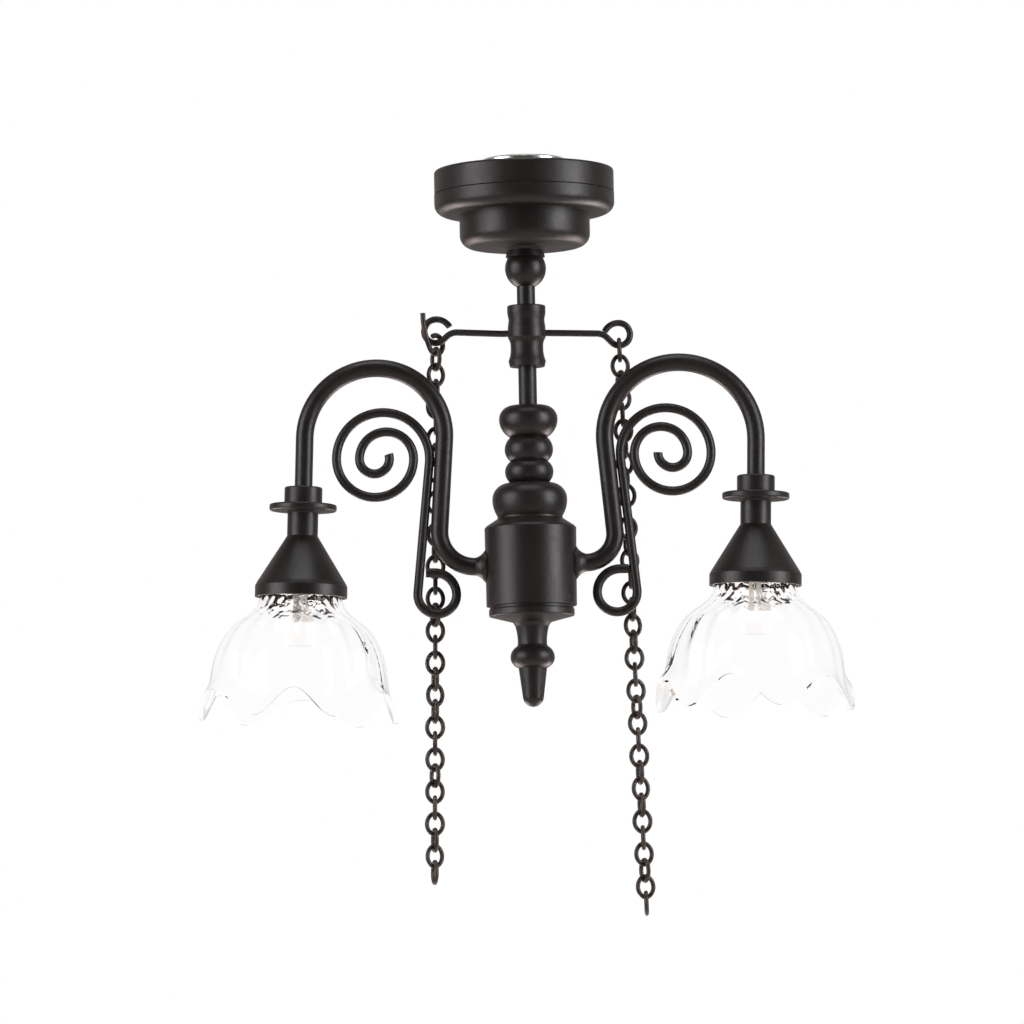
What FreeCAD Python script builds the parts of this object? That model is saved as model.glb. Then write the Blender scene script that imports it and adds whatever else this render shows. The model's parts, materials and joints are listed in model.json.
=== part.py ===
import FreeCAD, Part
import math
import os
from types import SimpleNamespace

import Sketcher
from FreeCAD import Placement, Rotation, Vector

# A dolls house ceiling lamp with two arms. Millimetres, +Z up. The origin is the middle of
# the top face of the ceiling magnet, so everything hangs below z = 0, and a "drop" is a
# depth below that face or below the top of the piece itself.

SIZES = {
    # ceiling magnet and the cap that holds it
    "magnet_radius": 4.4, "magnet_thick": 1.77, "magnet_bevel": 0.15,
    "cap_drop": 1.1, "cap_radius": 9.38, "cap_height": 2.48, "cap_edge": 0.3,
    "cap_pocket_radius": 4.45, "cap_pocket_depth": 0.67, "cap_boss_radius": 5.2,
    "cap_boss_depth": 1.0, "cap_roof": 0.5, "cap_bore": 8.25, "cap_lip_radius": 7.85,
    "cap_lip_height": 0.25,
    "leaf_drop": 2.12, "leaf_radius": 3.2, "leaf_thick": 0.2, "leaf_bump_radius": 1.2,
    "leaf_bump_depth": 0.43, "leaf_bump_flat": 0.5,
    # coin cell and the tray that carries it
    "cell_drop": 2.62, "cell_radius": 6.25, "cell_thick": 2.0, "cell_edge": 0.2,
    "cell_can_depth": 1.7, "cell_seal_radius": 5.4, "cell_seal_depth": 1.8,
    "cell_base_radius": 5.1,
    "tray_drop": 2.77, "tray_flange_radius": 8.15, "tray_flange_thick": 0.45,
    "tray_bore": 6.35, "tray_wall_radius": 6.9, "tray_depth": 2.4, "tray_floor_drop": 1.9,
    "tray_spigot_radius": 6.3, "tray_spigot_bore": 5.8, "tray_spigot_depth": 3.5,
    "tray_hole": 1.6,
    "rivet_drop": 4.64, "rivet_radius": 1.55, "rivet_length": 0.55, "rivet_flange_radius": 2.3,
    "rivet_flange_thick": 0.15,
    # two-step canopy dish
    "dish_drop": 3.66, "dish_radius": 9.4, "dish_wall": 0.45, "dish_rim_depth": 2.07,
    "dish_rim_bend": 1.1, "dish_step_radius": 6.8, "dish_step_bend": 1.3, "dish_depth": 5.55,
    # stem, its nut and the contact on its top end
    "stem_radius": 0.95, "stem_bore": 0.55, "stem_drop": 7.52, "stem_end_drop": 49.97,
    "stem_hole": 1.0, "nut_drop": 7.54, "nut_height": 1.2, "nut_circumradius": 2.2,
    "nut_bore": 0.96,
    "washer_drop": 6.67, "washer_height": 0.83, "washer_radius": 1.5, "washer_bore": 0.3,
    "button_drop": 5.39, "button_height": 1.26, "button_radius": 0.9,
    "button_flange_radius": 1.3, "button_flange_drop": 1.04,
    "lead_radius": 0.2, "lead_drop": 6.66, "lead_end_drop": 41.97,
    "splice_radius": 0.5, "splice_height": 1.0, "splice_window": 0.4,
    # turned trim on the stem
    "collar_drop": 9.22, "collar_height": 1.05, "collar_top_radius": 2.1,
    "collar_waist_radius": 1.92, "collar_waist_depth": 0.35, "collar_foot_radius": 2.05,
    "ball_drop": 10.27, "ball_radius": 2.135, "ball_top_radius": 1.77, "ball_bore_depth": 3.09,
    "hub_drop": 15.37, "hub_height": 6.4, "hub_band_radius": 2.0, "hub_band_edge": 0.15,
    "hub_band_depth": 0.75, "hub_neck_radius": 1.86, "hub_neck_depth": 1.5,
    "hub_boss_radius": 1.97, "hub_boss_top": 2.3, "hub_boss_foot": 3.35, "hub_waist_radius": 1.7,
    "hub_waist_depth": 4.4, "hub_flare_radius": 1.95, "hub_flare_depth": 5.8,
    "hub_foot_radius": 1.82, "hub_hollow": 1.6,
    # crossbar wire with a hanging loop bent at each end
    "bar_drop": 18.2, "bar_radius": 0.34, "bar_start": 1.02, "bar_hole": 0.355,
    "bar_bend": 1.5, "left_bar_root": 1.5, "left_bar_rise_bend": 3.0, "left_bar_rise": 4.5,
    "left_bar_run": 4.735, "left_dip_turn": 40.0, "left_dip_run": 0.567,
    "left_loop_bend": 1.24, "left_close_turn": 59.0,
    "right_bar_run": 6.567, "right_dip_turn": 45.0, "right_dip_run": 0.634,
    "right_loop_bend": 1.185, "right_close_turn": 61.0,
    "close_bend": 1.75, "chain_back": 2.36,
    # four turned beads, each with its own top, belly and foot
    "bead_one_drop": 25.84, "bead_one_height": 3.33, "bead_one_top": 1.6,
    "bead_one_belly": 3.05, "bead_one_belly_depth": 1.43, "bead_one_foot": 1.93,
    "bead_two_drop": 29.17, "bead_two_height": 2.5, "bead_two_top": 1.93,
    "bead_two_belly": 2.52, "bead_two_belly_depth": 1.3, "bead_two_foot": 1.93,
    "bead_three_drop": 31.67, "bead_three_height": 2.3, "bead_three_top": 1.93,
    "bead_three_belly": 2.52, "bead_three_belly_depth": 1.1, "bead_three_foot": 1.93,
    "bead_four_drop": 33.97, "bead_four_height": 3.5, "bead_four_top": 1.93,
    "bead_four_belly": 3.9, "bead_four_belly_depth": 1.7, "bead_four_foot": 3.35,
    # hollow body drum, its base and the finial
    "drum_drop": 37.47, "drum_neck_radius": 3.4, "drum_neck_depth": 0.2,
    "drum_shoulder_radius": 4.55, "drum_shoulder_depth": 0.95, "drum_radius": 4.775,
    "drum_edge": 0.25, "drum_foot_radius": 4.7, "drum_height": 9.3, "drum_bore": 4.28,
    "drum_bore_top": 1.4, "drum_roof": 0.5, "drum_roof_radius": 3.2, "drum_roof_depth": 0.68,
    "base_drop": 45.77, "base_spigot_radius": 4.23, "base_spigot_height": 1.0,
    "base_groove_radius": 4.35, "base_groove_depth": 1.3, "base_ring_radius": 4.45,
    "base_ring_foot": 2.1, "base_edge": 0.15, "base_cone_radius": 2.02, "base_height": 2.7,
    "finial_drop": 48.47, "finial_top_radius": 2.0, "finial_shoulder_radius": 1.75,
    "finial_shoulder_depth": 0.4, "finial_neck_radius": 1.52, "finial_neck_depth": 2.3,
    "finial_hollow": 6.0, "finial_ring_top": 1.62, "finial_ring_top_depth": 2.5,
    "finial_ring_radius": 2.3, "finial_ring_depth": 3.65, "finial_ring_foot": 1.48,
    "finial_ring_foot_depth": 4.75, "finial_tip_radius": 1.08, "finial_tip_depth": 7.9,
    "finial_height": 8.8, "finial_bore_depth": 1.6,
    # arm tube, from the drum up, over and down into the socket
    "arm_radius": 0.925, "arm_bore": 0.5, "arm_hole": 0.95, "arm_start": 4.3,
    "left_arm_drop": 42.568, "left_root_run": 1.504, "left_root_bend": 3.633,
    "left_arm_lean": 4.004, "left_lean_run": 9.496, "left_inner_bend": 7.085,
    "left_outer_bend": 7.47, "left_down_run": 9.15,
    "right_arm_drop": 42.349, "right_root_run": 1.506, "right_root_bend": 2.986,
    "right_arm_lean": 5.278, "right_lean_run": 9.143, "right_inner_bend": 7.697,
    "right_outer_bend": 8.053, "right_down_run": 7.75,
    "solder_radius": 1.7, "solder_reach": 5.78, "solder_bend": 1.5,
    "solder_start": 4.4, "solder_bore": 0.7,
    "arm_lead_start": 0.55, "arm_lead_spare": 2.3,
    # scroll wire beside each arm
    "scroll_radius": 0.48, "scroll_hook_run": 0.86,
    "left_scroll_start": 10.93, "left_scroll_drop": 43.13, "left_hook_bend": 2.294,
    "left_foot_bend": 2.014, "left_scroll_lean": 5.962, "left_stem_run": 13.653,
    "left_first_bend": 4.839, "left_second_bend": 4.011, "left_third_bend": 2.815,
    "left_fourth_bend": 1.559, "left_tip_turn": 197.0,
    "right_scroll_start": 10.116, "right_scroll_drop": 43.055, "right_hook_bend": 2.421,
    "right_foot_bend": 2.068, "right_scroll_lean": 5.975, "right_stem_run": 13.792,
    "right_first_bend": 4.727, "right_second_bend": 3.996, "right_third_bend": 2.775,
    "right_fourth_bend": 1.544, "right_tip_turn": 182.0,
    # socket stack on the end of each arm: its top, its lean away from the body, and how far
    # below that top each piece begins
    "left_socket_reach": 23.495, "left_socket_drop": 33.96, "left_socket_lean": 2.2,
    "right_socket_reach": 23.558, "right_socket_drop": 33.58, "right_socket_lean": -1.45,
    "saucer_below": 1.8, "cup_below": 2.5, "plug_below": 9.55, "lamp_below": 11.1,
    "shade_below": 10.55,
    "ferrule_radius": 1.97, "ferrule_height": 1.8, "ferrule_edge": 0.12, "socket_bore": 0.95,
    "saucer_radius": 3.5, "saucer_thick": 0.7, "saucer_edge": 0.2,
    "cup_collar_radius": 1.7, "cup_neck_radius": 1.6, "cup_neck_top": 0.25,
    "cup_neck_foot": 2.6, "cup_radius": 4.8, "cup_band_top": 7.65, "cup_height": 9.0,
    "cup_wall": 0.4, "cup_edge": 0.2, "cup_throat_radius": 1.2, "cup_throat_depth": 1.6,
    "cup_throat_foot": 2.6, "cup_cone_bore_top": 1.3,
    # lamp in each cup; the posts are measured from the top of its flange
    "plug_radius": 3.55, "plug_height": 1.5, "plug_hole": 1.0,
    "lamp_flange_radius": 1.9, "lamp_flange_height": 0.8,
    "lamp_radius": 1.5, "lamp_length": 5.5, "lamp_edge": 0.12,
    "post_width": 0.45, "post_gap": 0.35, "post_rise": 3.6, "post_length": 6.4,
    "anvil_width": 1.1, "anvil_height": 0.9, "anvil_depth": 1.9,
    # fluted glass shade
    "shade_height": 12.4, "left_shade_wave": 1.45, "right_shade_wave": 1.62,
    "shade_wall": 0.5, "shade_flute": 0.13,
    # oval chain links, the opened ring they hang from on the left, and each chain's splay
    "link_wire_radius": 0.225, "link_half_width": 0.8309, "link_end_bend": 0.62,
    "link_side_bend": 1.25, "link_side_turn": 48.3, "link_end_turn": 83.4,
    "left_link_pitch": 1.6755, "right_link_pitch": 1.7,
    "left_link_drop": 18.8445, "right_link_drop": 19.92,
    "left_chain_reach": 9.5, "right_chain_reach": 9.65,
    "left_chain_top": 18.82, "right_chain_top": 19.435,
    "left_chain_splay": 0.0192, "right_chain_splay": 0.0288,
    "ring_wire_radius": 0.27, "ring_drop": 19.01, "ring_bend": 0.98, "ring_turn": 269.95,
    "ring_leg_bend": 7.37, "ring_leg_turn": 30.05, "ring_leg_across": 1.838,
    "ring_leg_height": 3.2,
}
BEADS = ["bead_one", "bead_two", "bead_three", "bead_four"]
SIDES = {"left": -1, "right": 1}
SHADE_LOBES = 6
SHADE_FLUTES = 20
SHADE_SKEW = {"left": 0.59, "right": 0.09}          # lobes lean two and two together, radians
SHADE_VALLEY = {"left": -91.2, "right": -105.3}     # direction of one valley of the rim, degrees
# Outer radius of the shade at each share of the way from neck to rim.
SHADE_PROFILE = [(0.0, 4.25), (0.085, 4.25), (0.15, 4.45), (0.222, 5.15), (0.327, 6.9),
                 (0.452, 8.05), (0.617, 8.9), (0.746, 9.2), (0.85, 9.4), (1.0, 10.3)]
SHADE_RIM_SPREAD = 0.1                              # lobes stand this much further out
STRETCHES = {"left": [5, 5, 5, 5, 5, 5, 4], "right": [5] * 7}   # links, from the top down
FIRST_TURN = {"left": 0.0, "right": 90.0}           # links stand square to each other in turn
TWIST = [0.0, 14.0, 26.0, 14.0, 0.0]                # and turn a little within each stretch
RING_TURN, SECOND_TURN = 45.0, -62.0                # the opened ring and the link below it

doc = FreeCAD.newDocument("dolls_house_lamp")
sheet = doc.addObject("Spreadsheet::Sheet", "dims")
for row, (alias, value) in enumerate(SIZES.items(), start=1):
    sheet.set("A%d" % row, alias.replace("_", " "))
    sheet.set("B%d" % row, str(value))
    sheet.setAlias("B%d" % row, alias)
doc.recompute()
nodes = []


class Size:
    """A length or an angle: the expression that the document keeps, and its number."""

    def __init__(self, text, value):
        self.text, self.value = text, value

    def joined(self, sign, other):
        other = other if isinstance(other, Size) else Size(str(other), other)
        value = {"+": self.value + other.value, "-": self.value - other.value,
                 "*": self.value * other.value}[sign]
        return Size("(%s %s %s)" % (self.text, sign, other.text), value)

    def __add__(self, other):
        return self.joined("+", other)

    def __sub__(self, other):
        return self.joined("-", other)

    def __mul__(self, other):
        return self.joined("*", other)

    def over(self, other):
        return Size("(%s / %s)" % (self.text, other.text), self.value / other.value)

    def wave(self, name):
        """The sine or the cosine ("sin" or "cos") of an angle in degrees."""
        return Size("%s(%s * 1 deg)" % (name, self.text),
                    getattr(math, name)(math.radians(self.value)))


d = SimpleNamespace(**{alias: Size("dims." + alias, float(sheet.get(alias))) for alias in SIZES})


def dim(prefix, name):
    """The size whose alias is made of a prefix and a name."""
    return getattr(d, prefix + "_" + name)


def bind(item, prop, size):
    item.setExpression(prop, size.text)


def place(item, label, drop=None, across=None, sign=1, turn=0.0):
    """Label a finished sub-part and set its Placement; drop and across are bound sizes."""
    item.Label = label
    item.Placement = Placement(Vector(0, 0, 0), Rotation(Vector(0, 0, 1), turn))
    if drop is not None:
        bind(item, "Placement.Base.z", drop * -1)
    if across is not None:
        bind(item, "Placement.Base.x", across * sign)
    nodes.append(item)
    return item


def place_on_arm(item, label, side, below=None):
    """Set a piece of a socket stack on the stack's leaning axis, below the stack's top."""
    sign, lean = SIDES[side], dim(side, "socket_lean")
    across, drop = dim(side, "socket_reach"), dim(side, "socket_drop")
    if below is not None:
        across, drop = across + below * lean.wave("sin"), drop + below * lean.wave("cos")
    place(item, label, drop, across, sign)
    item.Placement = Placement(item.Placement.Base, Rotation(Vector(0, 1, 0), -sign * lean.value))


def new_body(label):
    return doc.addObject("PartDesign::Body", label)


def new_sketch(body, name, role, away=None):
    """A sketch on one of the body's own origin planes, moved off it by a bound distance."""
    sketch = body.newObject("Sketcher::SketchObject", body.Name + "_" + name)
    plane = next(item for item in body.Origin.OriginFeatures if item.Role == role)
    sketch.AttachmentSupport = [(plane, "")]
    sketch.MapMode = "FlatFace"
    if away is not None:
        bind(sketch, "AttachmentOffset.Base.z", away)
    return sketch


def hold(sketch, kind, where, size):
    """One driving constraint of a sketch, bound to the sheet."""
    value = math.radians(size.value) if kind == "Angle" else size.value
    index = sketch.addConstraint(Sketcher.Constraint(kind, *where, value))
    sketch.setExpression("Constraints[%d]" % index, size.text)


def ends(sketch, edge, start):
    """Which end of a sketch edge lies at the start point, and which is the other one."""
    return (1, 2) if (sketch.getPoint(edge, 1) - start).Length < 1e-6 else (2, 1)


def bulge(radius):
    return (1, radius)


def hollow(radius):
    return (-1, radius)


def outline(sketch, corners):
    """A closed outline of (across, drop) corners, each with the bend of the edge that leaves
    it, if it is an arc. Across is None on the axis and drop is None at the top."""
    points = [Vector(corner[0].value if corner[0] else 0.0,
                     -corner[1].value if corner[1] else 0.0, 0) for corner in corners]
    edges = []
    for index, corner in enumerate(corners):
        start, end = points[index], points[(index + 1) % len(points)]
        if len(corner) < 3:
            edge = sketch.addGeometry(Part.LineSegment(start, end))
            edges.append((edge, 1, 2))
            continue
        side, radius = corner[2]
        chord = end - start
        half = chord.Length / 2
        rise = radius.value - math.sqrt(radius.value ** 2 - half ** 2)
        middle = (start + end) * 0.5 + Vector(-chord.y, chord.x, 0).normalize() * rise * side
        edge = sketch.addGeometry(Part.Arc(start, middle, end))
        edges.append((edge, *ends(sketch, edge, start)))
        hold(sketch, "Radius", (edge,), radius)
    for index, (edge, first, _) in enumerate(edges):
        across, drop = corners[index][:2]
        before, _, last = edges[index - 1]
        sketch.addConstraint(Sketcher.Constraint("Coincident", before, last, edge, first))
        if across is None:
            sketch.addConstraint(Sketcher.Constraint("PointOnObject", edge, first, -2))
        else:
            hold(sketch, "DistanceX", (-1, 1, edge, first), across)
        if drop is None:
            sketch.addConstraint(Sketcher.Constraint("PointOnObject", edge, first, -1))
        else:
            hold(sketch, "DistanceY", (edge, first, -1, 1), drop)


def turned_body(label, corners):
    """A turned piece: its half section revolved about Z."""
    body = new_body(label)
    section = new_sketch(body, "section", "XZ_Plane")
    outline(section, corners)
    turning = body.newObject("PartDesign::Revolution", label + "_turning")
    turning.Profile = section
    turning.ReferenceAxis = (section, ["V_Axis"])
    turning.Angle = 360
    return body


def circle(sketch, radius, drop=None):
    """A circle on the sketch's vertical axis, at a drop below its origin."""
    at = Vector(0, -drop.value if drop else 0.0, 0)
    ring = sketch.addGeometry(Part.Circle(at, Vector(0, 0, 1), radius.value))
    if drop is None:
        sketch.addConstraint(Sketcher.Constraint("Coincident", ring, 3, -1, 1))
    else:
        sketch.addConstraint(Sketcher.Constraint("PointOnObject", ring, 3, -2))
        hold(sketch, "DistanceY", (ring, 3, -1, 1), drop)
    hold(sketch, "Radius", (ring,), radius)


def cross_hole(body, name, radius, drop, side=None):
    """A hole along X, right through the piece or through the wall on one side of it."""
    sketch = new_sketch(body, name, "YZ_Plane")
    circle(sketch, radius, drop)
    doc.recompute()
    before = body.Shape.Volume
    hole = body.newObject("PartDesign::Pocket", body.Name + "_" + name + "_cut")
    hole.Profile = sketch
    hole.SideType = "One side" if side else "Symmetric"
    hole.Type = "ThroughAll"
    hole.Reversed = side == "right"
    doc.recompute()
    if not body.Shape.Volume < before:
        raise ValueError("the hole %s cuts nothing" % hole.Name)


def wire_path(sketch, start, heading, moves):
    """Straight runs and bends joined at tangents. A move is ("run", length) or
    ("left" or "right", radius, angle); heading is the first direction in degrees."""
    at, facing = Vector(start), math.radians(heading)
    joint = None
    for move in moves:
        ahead = Vector(math.cos(facing), math.sin(facing), 0)
        if move[0] == "run":
            after = at + ahead * move[1].value
            edge = sketch.addGeometry(Part.LineSegment(at, after))
            first, last = 1, 2
            hold(sketch, "Distance", (edge,), move[1])
        else:
            side = 1 if move[0] == "left" else -1
            radius, angle = move[1].value, math.radians(move[2].value)
            centre = at + Vector(-ahead.y, ahead.x, 0) * radius * side
            spoke = at - centre
            turned = [Rotation(Vector(0, 0, 1), math.degrees(part * angle * side))
                      .multVec(spoke) + centre for part in (0.5, 1.0)]
            edge = sketch.addGeometry(Part.Arc(at, *turned))
            first, last = ends(sketch, edge, at)
            hold(sketch, "Radius", (edge,), move[1])
            hold(sketch, "Angle", (edge,), move[2])
            after, facing = turned[1], facing + angle * side
        if joint:
            sketch.addConstraint(Sketcher.Constraint("Tangent", *joint, edge, first))
        joint = (edge, last)
        at = after
    return at


def wire_body(label, start, moves, radius, bore=None, away_from_body=False, body=None):
    """A round wire or tube along a path in the XZ plane that sets out along X."""
    body = body or new_body(label)
    path = new_sketch(body, "path", "XZ_Plane")
    heading = 0.0 if not away_from_body else 180.0
    wire_path(path, Vector(start.value, 0, 0), heading, moves)
    path.addConstraint(Sketcher.Constraint("Horizontal", 0))
    path.addConstraint(Sketcher.Constraint("PointOnObject", 0, 1, -1))
    hold(path, "DistanceX", (-1, 1, 0, 1), start)
    section = new_sketch(body, "round", "YZ_Plane", start)
    circle(section, radius)
    if bore:
        circle(section, bore)
    pipe = body.newObject("PartDesign::AdditivePipe", label + "_pipe")
    pipe.Profile = section
    pipe.Spine = (path, ["Edge%d" % (index + 1) for index in range(len(moves))])
    return body


def chord_bend(across, along):
    """Radius of an arc that starts square to its axis and ends across and along from there."""
    squares = across * across + along * along
    return squares.over(across * 2)


# --- ceiling side: magnet, cap and spring leaf ---

def ceiling_magnet():
    edge, far = d.magnet_bevel, d.magnet_radius
    body = turned_body("ceiling_magnet", [
        (None, None), (far - edge, None), (far, edge), (far, d.magnet_thick - edge),
        (far - edge, d.magnet_thick), (None, d.magnet_thick)])
    place(body, "ceiling_magnet")


def battery_cap():
    lip = d.cap_height - d.cap_lip_height
    body = turned_body("battery_cap", [
        (None, d.cap_pocket_depth), (d.cap_pocket_radius, d.cap_pocket_depth),
        (d.cap_pocket_radius, None), (d.cap_radius - d.cap_edge, None, bulge(d.cap_edge)),
        (d.cap_radius, d.cap_edge), (d.cap_radius, d.cap_height),
        (d.cap_lip_radius, d.cap_height), (d.cap_lip_radius, lip), (d.cap_bore, lip),
        (d.cap_bore, d.cap_roof), (d.cap_boss_radius, d.cap_roof),
        (d.cap_boss_radius, d.cap_boss_depth), (None, d.cap_boss_depth)])
    place(body, "battery_cap", d.cap_drop)


def cap_contact():
    body = turned_body("cap_contact", [
        (None, None), (d.leaf_radius, None), (d.leaf_radius, d.leaf_thick),
        (d.leaf_bump_radius, d.leaf_thick), (d.leaf_bump_flat, d.leaf_bump_depth),
        (None, d.leaf_bump_depth)])
    place(body, "cap_contact", d.leaf_drop)


# --- battery tray, coin cell and rivet contact ---

def coin_cell():
    body = turned_body("coin_cell", [
        (None, None), (d.cell_radius - d.cell_edge, None, bulge(d.cell_edge)),
        (d.cell_radius, d.cell_edge), (d.cell_radius, d.cell_can_depth),
        (d.cell_seal_radius, d.cell_seal_depth), (d.cell_base_radius, d.cell_thick),
        (None, d.cell_thick)])
    place(body, "coin_cell", d.cell_drop)


def battery_tray():
    body = turned_body("battery_tray", [
        (d.tray_bore, None), (d.tray_flange_radius, None),
        (d.tray_flange_radius, d.tray_flange_thick), (d.tray_wall_radius, d.tray_flange_thick),
        (d.tray_wall_radius, d.tray_depth), (d.tray_spigot_radius, d.tray_depth),
        (d.tray_spigot_radius, d.tray_spigot_depth), (d.tray_spigot_bore, d.tray_spigot_depth),
        (d.tray_spigot_bore, d.tray_depth), (d.tray_hole, d.tray_depth),
        (d.tray_hole, d.tray_floor_drop), (d.tray_bore, d.tray_floor_drop)])
    place(body, "battery_tray", d.tray_drop)


def tray_contact():
    foot = d.rivet_length + d.rivet_flange_thick
    body = turned_body("tray_contact", [
        (None, None), (d.rivet_radius, None), (d.rivet_radius, d.rivet_length),
        (d.rivet_flange_radius, d.rivet_length), (d.rivet_flange_radius, foot), (None, foot)])
    place(body, "tray_contact", d.rivet_drop)


# --- canopy and stem ---

def canopy_dish():
    rim, step, wall = d.dish_rim_bend, d.dish_step_bend, d.dish_wall
    rim_inner, step_inner = d.dish_radius - wall, d.dish_step_radius - wall
    rim_floor, step_floor = d.dish_rim_depth - wall, d.dish_depth - wall
    body = turned_body("canopy_dish", [
        (rim_inner, None), (d.dish_radius, None),
        (d.dish_radius, d.dish_rim_depth - rim, bulge(rim)),
        (d.dish_radius - rim, d.dish_rim_depth), (d.dish_step_radius, d.dish_rim_depth),
        (d.dish_step_radius, d.dish_depth - step, bulge(step)),
        (d.dish_step_radius - step, d.dish_depth), (d.stem_hole, d.dish_depth),
        (d.stem_hole, step_floor),
        (d.dish_step_radius - step, step_floor, hollow(step - wall)),
        (step_inner, d.dish_depth - step), (step_inner, rim_floor),
        (d.dish_radius - rim, rim_floor, hollow(rim - wall)),
        (rim_inner, d.dish_rim_depth - rim)])
    place(body, "canopy_dish", d.dish_drop)


def stem_tube():
    body = new_body("stem_tube")
    section = new_sketch(body, "section", "XY_Plane")
    circle(section, d.stem_radius)
    circle(section, d.stem_bore)
    tube = body.newObject("PartDesign::Pad", "stem_tube_length")
    tube.Profile = section
    tube.Reversed = True
    bind(tube, "Length", d.stem_end_drop - d.stem_drop)
    cross_hole(body, "lead_window", d.splice_window,
               (d.left_arm_drop + d.right_arm_drop) * 0.5 - d.stem_drop)
    place(body, "stem_tube", d.stem_drop)


def stem_nut():
    nut = doc.addObject("Part::Prism", "stem_nut_hexagon")
    nut.Polygon = 6
    bind(nut, "Circumradius", d.nut_circumradius)
    bind(nut, "Height", d.nut_height)
    bore = doc.addObject("Part::Cylinder", "stem_nut_bore")
    bind(bore, "Radius", d.nut_bore)
    bind(bore, "Height", d.nut_height)
    cut = doc.addObject("Part::Cut", "stem_nut")
    cut.Base, cut.Tool = nut, bore
    place(cut, "stem_nut", d.nut_drop + d.nut_height)


def plain_tube(label, radius, bore, height, drop):
    """A straight tube whose top is at the drop."""
    body = turned_body(label, [(bore, None), (radius, None), (radius, height), (bore, height)])
    place(body, label, drop)


def plain_rod(label, radius, height, drop):
    body = turned_body(label, [(None, None), (radius, None), (radius, height), (None, height)])
    place(body, label, drop)


def stem_contact():
    body = turned_body("stem_contact", [
        (None, None), (d.button_radius, None), (d.button_radius, d.button_flange_drop),
        (d.button_flange_radius, d.button_flange_drop),
        (d.button_flange_radius, d.button_height), (None, d.button_height)])
    place(body, "stem_contact", d.button_drop)


def canopy_collar():
    body = turned_body("canopy_collar", [
        (d.stem_hole, None), (d.collar_top_radius, None),
        (d.collar_waist_radius, d.collar_waist_depth), (d.collar_foot_radius, d.collar_height),
        (d.stem_hole, d.collar_height)])
    place(body, "canopy_collar", d.collar_drop)


def stem_ball():
    body = turned_body("stem_ball", [
        (d.stem_hole, None), (d.ball_top_radius, None, bulge(d.ball_radius)),
        (d.stem_hole, d.ball_bore_depth)])
    place(body, "stem_ball", d.ball_drop)


# --- crossbar ---

def crossbar_hub():
    edge = d.hub_band_edge
    hub = turned_body("hub_blank", [
        (d.stem_hole, None), (d.hub_band_radius - edge, None, bulge(edge)),
        (d.hub_band_radius, edge), (d.hub_band_radius, d.hub_band_depth),
        (d.hub_neck_radius, d.hub_neck_depth), (d.hub_boss_radius, d.hub_boss_top),
        (d.hub_boss_radius, d.hub_boss_foot, hollow(d.hub_hollow)),
        (d.hub_waist_radius, d.hub_waist_depth, hollow(d.hub_hollow * 2)),
        (d.hub_flare_radius, d.hub_flare_depth), (d.hub_foot_radius, d.hub_height),
        (d.stem_hole, d.hub_height)])
    for side in SIDES:
        drill = doc.addObject("Part::Cylinder", "crossbar_hub_drill_" + side)
        bind(drill, "Radius", d.bar_hole)
        bind(drill, "Height", d.hub_band_radius)
        turn = Rotation(Vector(0, 0, 1), bar_turn(side)) * Rotation(Vector(0, 1, 0), 90)
        drill.Placement = Placement(Vector(0, 0, 0), turn)
        bind(drill, "Placement.Base.z", (d.bar_drop - d.hub_drop) * -1)
        cut = doc.addObject("Part::Cut", "crossbar_hub_drilled_" + side)
        cut.Base, cut.Tool = hub, drill
        hub = cut
    place(hub, "crossbar_hub", d.hub_drop)


def bar_turn(side):
    """Plan direction of one half of the bar: both lean back, so the chains clear the arms."""
    reach = dim(side, "chain_reach").value
    lean = math.degrees(math.atan2(d.chain_back.value, reach))
    return lean if side == "right" else 180.0 - lean


def crossbar(side):
    """Half of the crossbar: straight out, a dip, then round a loop and back to the bar."""
    square, rise = Size("90", 90.0), None
    moves = []
    if side == "left":
        rise = d.left_bar_rise
        moves += [("run", d.left_bar_root), ("left", d.left_bar_rise_bend, rise)]
    dip = dim(side, "dip_turn")
    moves += [("run", dim(side, "bar_run")), ("right", d.bar_bend, dip + rise if rise else dip),
              ("run", dim(side, "dip_run")),
              ("left", dim(side, "loop_bend"), square + dip),
              ("left", dim(side, "loop_bend"), square),
              ("left", d.close_bend, dim(side, "close_turn"))]
    body = wire_body("crossbar_" + side, d.bar_start, moves, d.bar_radius)
    place(body, "crossbar_" + side, d.bar_drop, turn=bar_turn(side))


# --- column ---

def column_bead(name):
    top, belly, foot = dim(name, "top"), dim(name, "belly"), dim(name, "foot")
    above, height = dim(name, "belly_depth"), dim(name, "height")
    body = turned_body(name, [
        (d.stem_hole, None), (top, None, bulge(chord_bend(belly - top, above))),
        (belly, above, bulge(chord_bend(belly - foot, height - above))),
        (foot, height), (d.stem_hole, height)])
    place(body, name, dim(name, "drop"))


def body_drum():
    body = turned_body("body_drum", [
        (d.stem_hole, None), (d.drum_neck_radius, None),
        (d.drum_neck_radius, d.drum_neck_depth), (d.drum_shoulder_radius, d.drum_shoulder_depth),
        (d.drum_radius, d.drum_shoulder_depth + d.drum_edge),
        (d.drum_foot_radius, d.drum_height), (d.drum_bore, d.drum_height),
        (d.drum_bore, d.drum_bore_top), (d.drum_roof_radius, d.drum_roof_depth),
        (d.stem_hole, d.drum_roof)])
    for side in SIDES:
        cross_hole(body, "arm_hole_" + side, d.arm_hole, dim(side, "arm_drop") - d.drum_drop, side)
    place(body, "body_drum", d.drum_drop)


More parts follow.
